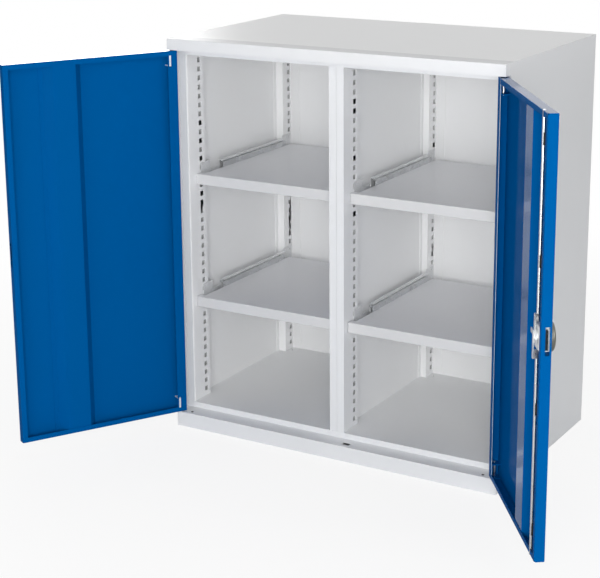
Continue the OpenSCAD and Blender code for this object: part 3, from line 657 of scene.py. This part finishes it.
def beyond(direction, distance):
    """A test of the place: further along a direction than a distance."""
    return lambda place: place.along(direction) > distance


def from_hinge(place, side, way):
    """How far the place lies from a door's hinge axis, along one of the door's directions."""
    matrix = door_matrix(f"{side}_door_hinge")
    direction = matrix.to_3x3() @ Vector(way)
    return place.along(direction) - matrix.translation.dot(direction)


def outside_of_door(side):
    """A test of the place: the door's outer face and its two ends."""
    low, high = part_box(f"{side}_door_panel")
    middle, end_skin = 0.5 * (low[2] + high[2]), 0.5 * (high[2] - low[2]) - SHEET_MIDDLE

    def test(place):
        outer = from_hinge(place, side, ALONG_Y) < -OUTER_FACE
        end = abs(place.along(ALONG_Z) - middle) > end_skin
        return outer.most(end)

    return test


def face_of_stiffener(place):
    """A test of the place: past the flat face of the right door's stiffener."""
    return from_hinge(place, "right", ALONG_Y) > STIFFENER_FACE


def hem_highlight_of_right_door(place):
    """A test of the place: the cut edge of the right door's lip beside the hinge, where a painted
    highlight goes.
    """
    reach = from_hinge(place, "right", ALONG_X)
    return (reach > HEM_START) * (reach < HEM_END) * face_of_stiffener(place)


# ------------------------------------------------------------------ operators

class CABINET_OT_body(bpy.types.Operator):
    """Grey powder coat for the body sheets and uprights, lighter inside and on the ledge top as
    painted light
    """

    bl_idname = "cabinet.body"
    bl_label = "Body"

    def execute(self, context):
        finishes = context.scene.cabinet_finishes
        body, inner = tuple(finishes.body_colour), tuple(finishes.inner_brightened_colour)
        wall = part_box("right_side_panel")[1][0] - SHEET_MIDDLE
        frame_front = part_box("partition_left_half")[0][1] + 2 * SHEET_MIDDLE
        floor_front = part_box("floor_panel")[0][1] + SHEET_MIDDLE
        ledge_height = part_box("plinth")[1][2] - SHEET_MIDDLE

        def inside(place):
            return (abs(place.along(ALONG_X)) < wall) * (place.along(ALONG_Y) > frame_front)

        # The brightened inner colour is painted light: inside the walls, on the floor panel behind
        # its front and on the ledge top
        coats = [
            (GREY_NODES, "body powder coat", body, (inner, inside)),
            (INNER_NODES, "brightened inner powder coat", inner, None),
            (["floor_panel"], "floor powder coat", body, (inner, beyond(ALONG_Y, floor_front))),
            (["plinth"], "plinth powder coat", body, (inner, beyond(ALONG_Z, ledge_height))),
        ]
        for names, title, colour, lighter in coats:
            paint = powder_coat(
                title, colour, finishes.coat_roughness, finishes.peel_depth, inner=lighter
            )
            dress(names, paint, finishes.edge_round)
        return {"FINISHED"}


class CABINET_OT_shelves(bpy.types.Operator):
    """Smoother grey coat for the pull-out shelves: darker front lips as painted shade, lighter tops
    as painted light
    """

    bl_idname = "cabinet.shelves"
    bl_label = "Shelves"

    def execute(self, context):
        finishes = context.scene.cabinet_finishes
        roughness, peel = finishes.coat_roughness * 0.8, finishes.peel_depth * 0.6
        for name in TRAY_NODES:
            # The lighter colour behind the lip is painted light, the darker lip painted shade
            behind_lip = beyond(ALONG_Y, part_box(name)[0][1] + SHEET_MIDDLE)
            paint = powder_coat(
                f"{name} powder coat", tuple(finishes.tray_shaded_front_colour), roughness, peel,
                inner=(tuple(finishes.tray_lit_top_colour), behind_lip),
            )
            dress([name], paint, finishes.edge_round)
        return {"FINISHED"}


class CABINET_OT_doors(bpy.types.Operator):
    """Blue powder coat for the doors, their stiffeners and the right hinge brackets, with a painted
    highlight along the right lip's cut edge
    """

    bl_idname = "cabinet.doors"
    bl_label = "Doors"

    def execute(self, context):
        finishes = context.scene.cabinet_finishes
        colour, roughness = tuple(finishes.door_colour), finishes.coat_roughness * 0.3
        peel = finishes.peel_depth * 0.4
        for side in ("left", "right"):
            hem_highlight = stiffener_shine = None
            if side == "right":
                # A pale band on the right lip's cut edge: a painted highlight
                hem_highlight = (tuple(finishes.hem_highlight_colour), hem_highlight_of_right_door)
                stiffener_shine = face_of_stiffener
            paint = powder_coat(
                f"{side} door coat", colour, roughness, peel, mottling=0.02, gloss=0.003,
                inner=hem_highlight, shine=outside_of_door(side),
            )
            stiffener = powder_coat(
                f"{side} stiffener coat", colour, roughness, peel, mottling=0.02, gloss=0.003,
                shine=stiffener_shine,
            )
            dress([f"{side}_door_panel"], paint, finishes.edge_round)
            dress([f"{side}_door_stiffener"], stiffener, finishes.edge_round)
            if side == "right":
                dress(["right_hinge_brackets"], paint, finishes.edge_round)
        return {"FINISHED"}


class CABINET_OT_runners(bpy.types.Operator):
    """Zinc and bright steel for rails, brackets, hinges and rods"""

    bl_idname = "cabinet.runners"
    bl_label = "Runners and Fittings"

    def execute(self, context):
        finishes = context.scene.cabinet_finishes
        steel_colour = tuple(finishes.steel_colour)
        fine_round = finishes.edge_round * PLATED_ROUND
        zinc = zinc_plate("zinc plate", tuple(finishes.zinc_colour))
        upright_steel = drawn_steel("drawn steel upright", steel_colour, DRAWN_UPRIGHT)
        level_steel = drawn_steel("drawn steel level", steel_colour, DRAWN_LEVEL)
        blackened = drawn_steel("blackened steel", tuple(finishes.bolt_colour), DRAWN_UPRIGHT)
        dress(ZINC_NODES, zinc, fine_round)
        for name in STEEL_NODES:
            dress([name], level_steel if "rails" in name else upright_steel, fine_round)
        dress(["centre_bolt"], blackened, fine_round)
        return {"FINISHED"}


class CABINET_OT_plastics(bpy.types.Operator):
    """Plastic bushes, rod guides, knob and escutcheon, and the key cylinder"""

    bl_idname = "cabinet.plastics"
    bl_label = "Knob and Plastics"

    def execute(self, context):
        finishes = context.scene.cabinet_finishes
        nylon = moulded_plastic("black nylon", tuple(finishes.bushing_colour), 0.5)
        dark = moulded_plastic("surround satin", tuple(finishes.surround_colour), 0.28, 0.7)
        knob = moulded_plastic("knob satin", tuple(finishes.knob_colour), 0.32, 0.5)
        cylinder = drawn_steel("cylinder steel", tuple(finishes.steel_colour), DRAWN_NOT)
        moulded_round = finishes.edge_round * MOULDED_ROUND
        dress(BLACK_NODES, nylon, finishes.edge_round)
        dress(["escutcheon"], dark, moulded_round, MOULDED_SEGMENTS)
        dress(["turn_knob"], knob, moulded_round, MOULDED_SEGMENTS)
        dress(["key_cylinder"], cylinder, finishes.edge_round * PLATED_ROUND)
        return {"FINISHED"}


class CABINET_OT_fasteners(bpy.types.Operator):
    """Rivets, screws and plugs on the body and the lock"""

    bl_idname = "cabinet.fasteners"
    bl_label = "Fasteners"

    def execute(self, context):
        zinc, nylon, paint = (
            bpy.data.materials.get(name)
            for name in ("zinc plate", "black nylon", "body powder coat")
        )
        if None in (zinc, nylon, paint):
            raise RuntimeError("Build the body, the runners and the plastics first")
        case_screws, cam_screw = lock_screws()
        fasteners(
            "upright_rivets", "cabinet", "rivet", UPRIGHT_RIVET, upright_rivets(), zinc
        )
        fasteners(
            "back_rivets", "cabinet", "rivet", BACK_RIVET, back_rivets(), paint
        )
        fasteners(
            "ledge_plugs", "cabinet", "plug", LEDGE_PLUG, ledge_plugs(), nylon
        )
        fasteners(
            "lock_case_screws", "right_door", "screw", CASE_SCREW, case_screws, zinc
        )
        fasteners("cam_screw", "lock_handle", "screw", CAM_SCREW, cam_screw, zinc)
        return {"FINISHED"}


class CABINET_OT_stage(bpy.types.Operator):
    """Camera, lamps, sky and floor"""

    bl_idname = "cabinet.stage"
    bl_label = "Stage"

    def execute(self, context):
        stage = context.scene.cabinet_stage
        make_camera(context, stage)
        make_lamps(context, stage)
        make_sky(context.scene, stage)
        make_floor(context)
        context.scene.view_settings.view_transform = "Standard"
        return {"FINISHED"}


# ------------------------------------------------------------------ stage

def make_camera(context, stage):
    """The camera at the picture's viewing angle."""
    camera = bpy.data.cameras.new("camera")
    camera.sensor_width = 36.0
    camera.lens = stage.camera_lens
    camera.shift_y = stage.camera_shift
    camera.clip_end = 50.0
    holder = bpy.data.objects.new("camera", camera)
    turn, tilt, roll = stage.camera_turn
    holder.matrix_world = (
        Matrix.Translation(stage.camera_place)
        @ Matrix.Rotation(turn, 4, "Z")
        @ Matrix.Rotation(math.pi / 2 - tilt, 4, "X")
        @ Matrix.Rotation(roll, 4, "Z")
    )
    context.scene.collection.objects.link(holder)
    context.scene.camera = holder


def make_lamps(context, stage):
    """Large soft lamps, each aimed at the middle of the cabinet."""
    middle = Vector((0.0, 0.0, 0.55))
    lamps = [
        ("key lamp", (2.3, -4.3, 1.1), (2.4, 2.2), stage.key_power),
        ("fill lamp", (-1.0, -4.7, 1.1), (2.4, 2.2), stage.fill_power),
        ("high lamp", (1.6, -4.3, 3.3), (2.4, 2.0), stage.high_power),
        ("top lamp", (0.0, 0.8, 4.2), (3.0, 2.4), stage.top_power),
        ("side lamp", (4.4, -1.2, 1.6), (2.2, 2.2), stage.side_power),
        ("back lamp left", (-3.6, 2.6, 1.3), (2.2, 2.2), stage.back_power),
        ("back lamp middle", (-0.8, 4.6, 0.5), (2.2, 0.9), stage.back_power),
    ]
    for name, place, size, power in lamps:
        light = bpy.data.lights.new(name, "AREA")
        light.shape = "RECTANGLE"
        light.size, light.size_y = size
        light.energy = power
        lamp = bpy.data.objects.new(name, light)
        lamp.location = place
        lamp.rotation_euler = (middle - Vector(place)).to_track_quat("-Z", "Y").to_euler()
        context.scene.collection.objects.link(lamp)


def make_sky(scene, stage):
    """Even light from all round, and a white background for the camera, gloss and glass rays."""
    world = bpy.data.worlds.new("sky")
    world.use_nodes = True
    scene.world = world
    graph = Graph("sky", world.node_tree)
    ray = graph.add("ShaderNodeLightPath", output="Is Camera Ray")
    glossy = graph.add("ShaderNodeLightPath", output="Is Glossy Ray")
    through = graph.add("ShaderNodeLightPath", output="Is Transmission Ray")
    seen = ray.most(glossy.most(through))
    white = (1.0, 1.0, 1.0, 1.0)
    plain = graph.add(
        "ShaderNodeBackground", None, {"Color": white, "Strength": stage.sky_strength}
    )
    bright = graph.add("ShaderNodeBackground", None, {"Color": white, "Strength": 1.0})
    mixed = graph.add("ShaderNodeMixShader", None, {0: seen, 1: plain, 2: bright})
    graph.add("ShaderNodeOutputWorld", None, {"Surface": mixed})


def make_floor(context):
    """A wide pale floor that is white far off and keeps the cabinet's shadow near it."""
    mesh = bpy.data.meshes.new("floor")
    corners = [(-1, -1), (1, -1), (1, 1), (-1, 1)]
    mesh.from_pydata([(FLOOR_HALF * x, FLOOR_HALF * y, 0) for x, y in corners], [], [(0, 1, 2, 3)])
    floor = bpy.data.objects.new("floor", mesh)
    context.scene.collection.objects.link(floor)
    graph = Graph("floor white")
    distance = graph.add(
        "ShaderNodeVectorMath", {"operation": "LENGTH"}, {0: graph.here()}, "Value"
    )
    far = graph.ramp(distance / FLOOR_FADE, (0.22, 0.85), (0.8, 1.0))
    seen = graph.add("ShaderNodeLightPath", output="Is Camera Ray")
    plain = graph.add("ShaderNodeBsdfDiffuse", None, {"Color": (0.86, 0.86, 0.86, 1.0)})
    white = graph.add(
        "ShaderNodeEmission", None, {"Color": (1.0, 1.0, 1.0, 1.0), "Strength": 1.0}
    )
    surface = graph.add("ShaderNodeMixShader", None, {0: far * seen, 1: plain, 2: white})
    graph.add("ShaderNodeOutputMaterial", None, {"Surface": surface})
    mesh.materials.append(graph.material)


# ------------------------------------------------------------------ panel

OPERATORS = (
    CABINET_OT_body, CABINET_OT_shelves, CABINET_OT_doors, CABINET_OT_runners,
    CABINET_OT_plastics, CABINET_OT_fasteners, CABINET_OT_stage,
)


class CABINET_PT_sidebar(bpy.types.Panel):
    """Buttons for every piece and the stage"""

    bl_idname = "CABINET_PT_sidebar"
    bl_label = "Tool Cabinet"
    bl_space_type = "VIEW_3D"
    bl_region_type = "UI"
    bl_category = "Cabinet"

    def draw(self, context):
        column = self.layout.column()
        for operator in OPERATORS:
            column.operator(operator.bl_idname)
        for group in (context.scene.cabinet_finishes, context.scene.cabinet_stage):
            box = self.layout.box()
            for name in group.bl_rna.properties.keys():
                if name not in {"rna_type", "name"}:
                    box.prop(group, name)


CLASSES = (CabinetFinishes, CabinetStage, *OPERATORS, CABINET_PT_sidebar)


def register():
    """Adds the classes and the settings."""
    for each in CLASSES:
        bpy.utils.register_class(each)
    bpy.types.Scene.cabinet_finishes = bpy.props.PointerProperty(type=CabinetFinishes)
    bpy.types.Scene.cabinet_stage = bpy.props.PointerProperty(type=CabinetStage)


def unregister():
    """Removes the settings and the classes."""
    del bpy.types.Scene.cabinet_stage
    del bpy.types.Scene.cabinet_finishes
    for each in reversed(CLASSES):
        bpy.utils.unregister_class(each)


def main():
    """Builds everything in order."""
    register()
    for operator in OPERATORS:
        group, name = operator.bl_idname.split(".")
        getattr(getattr(bpy.ops, group), name)()


if __name__ == "__main__":
    main()
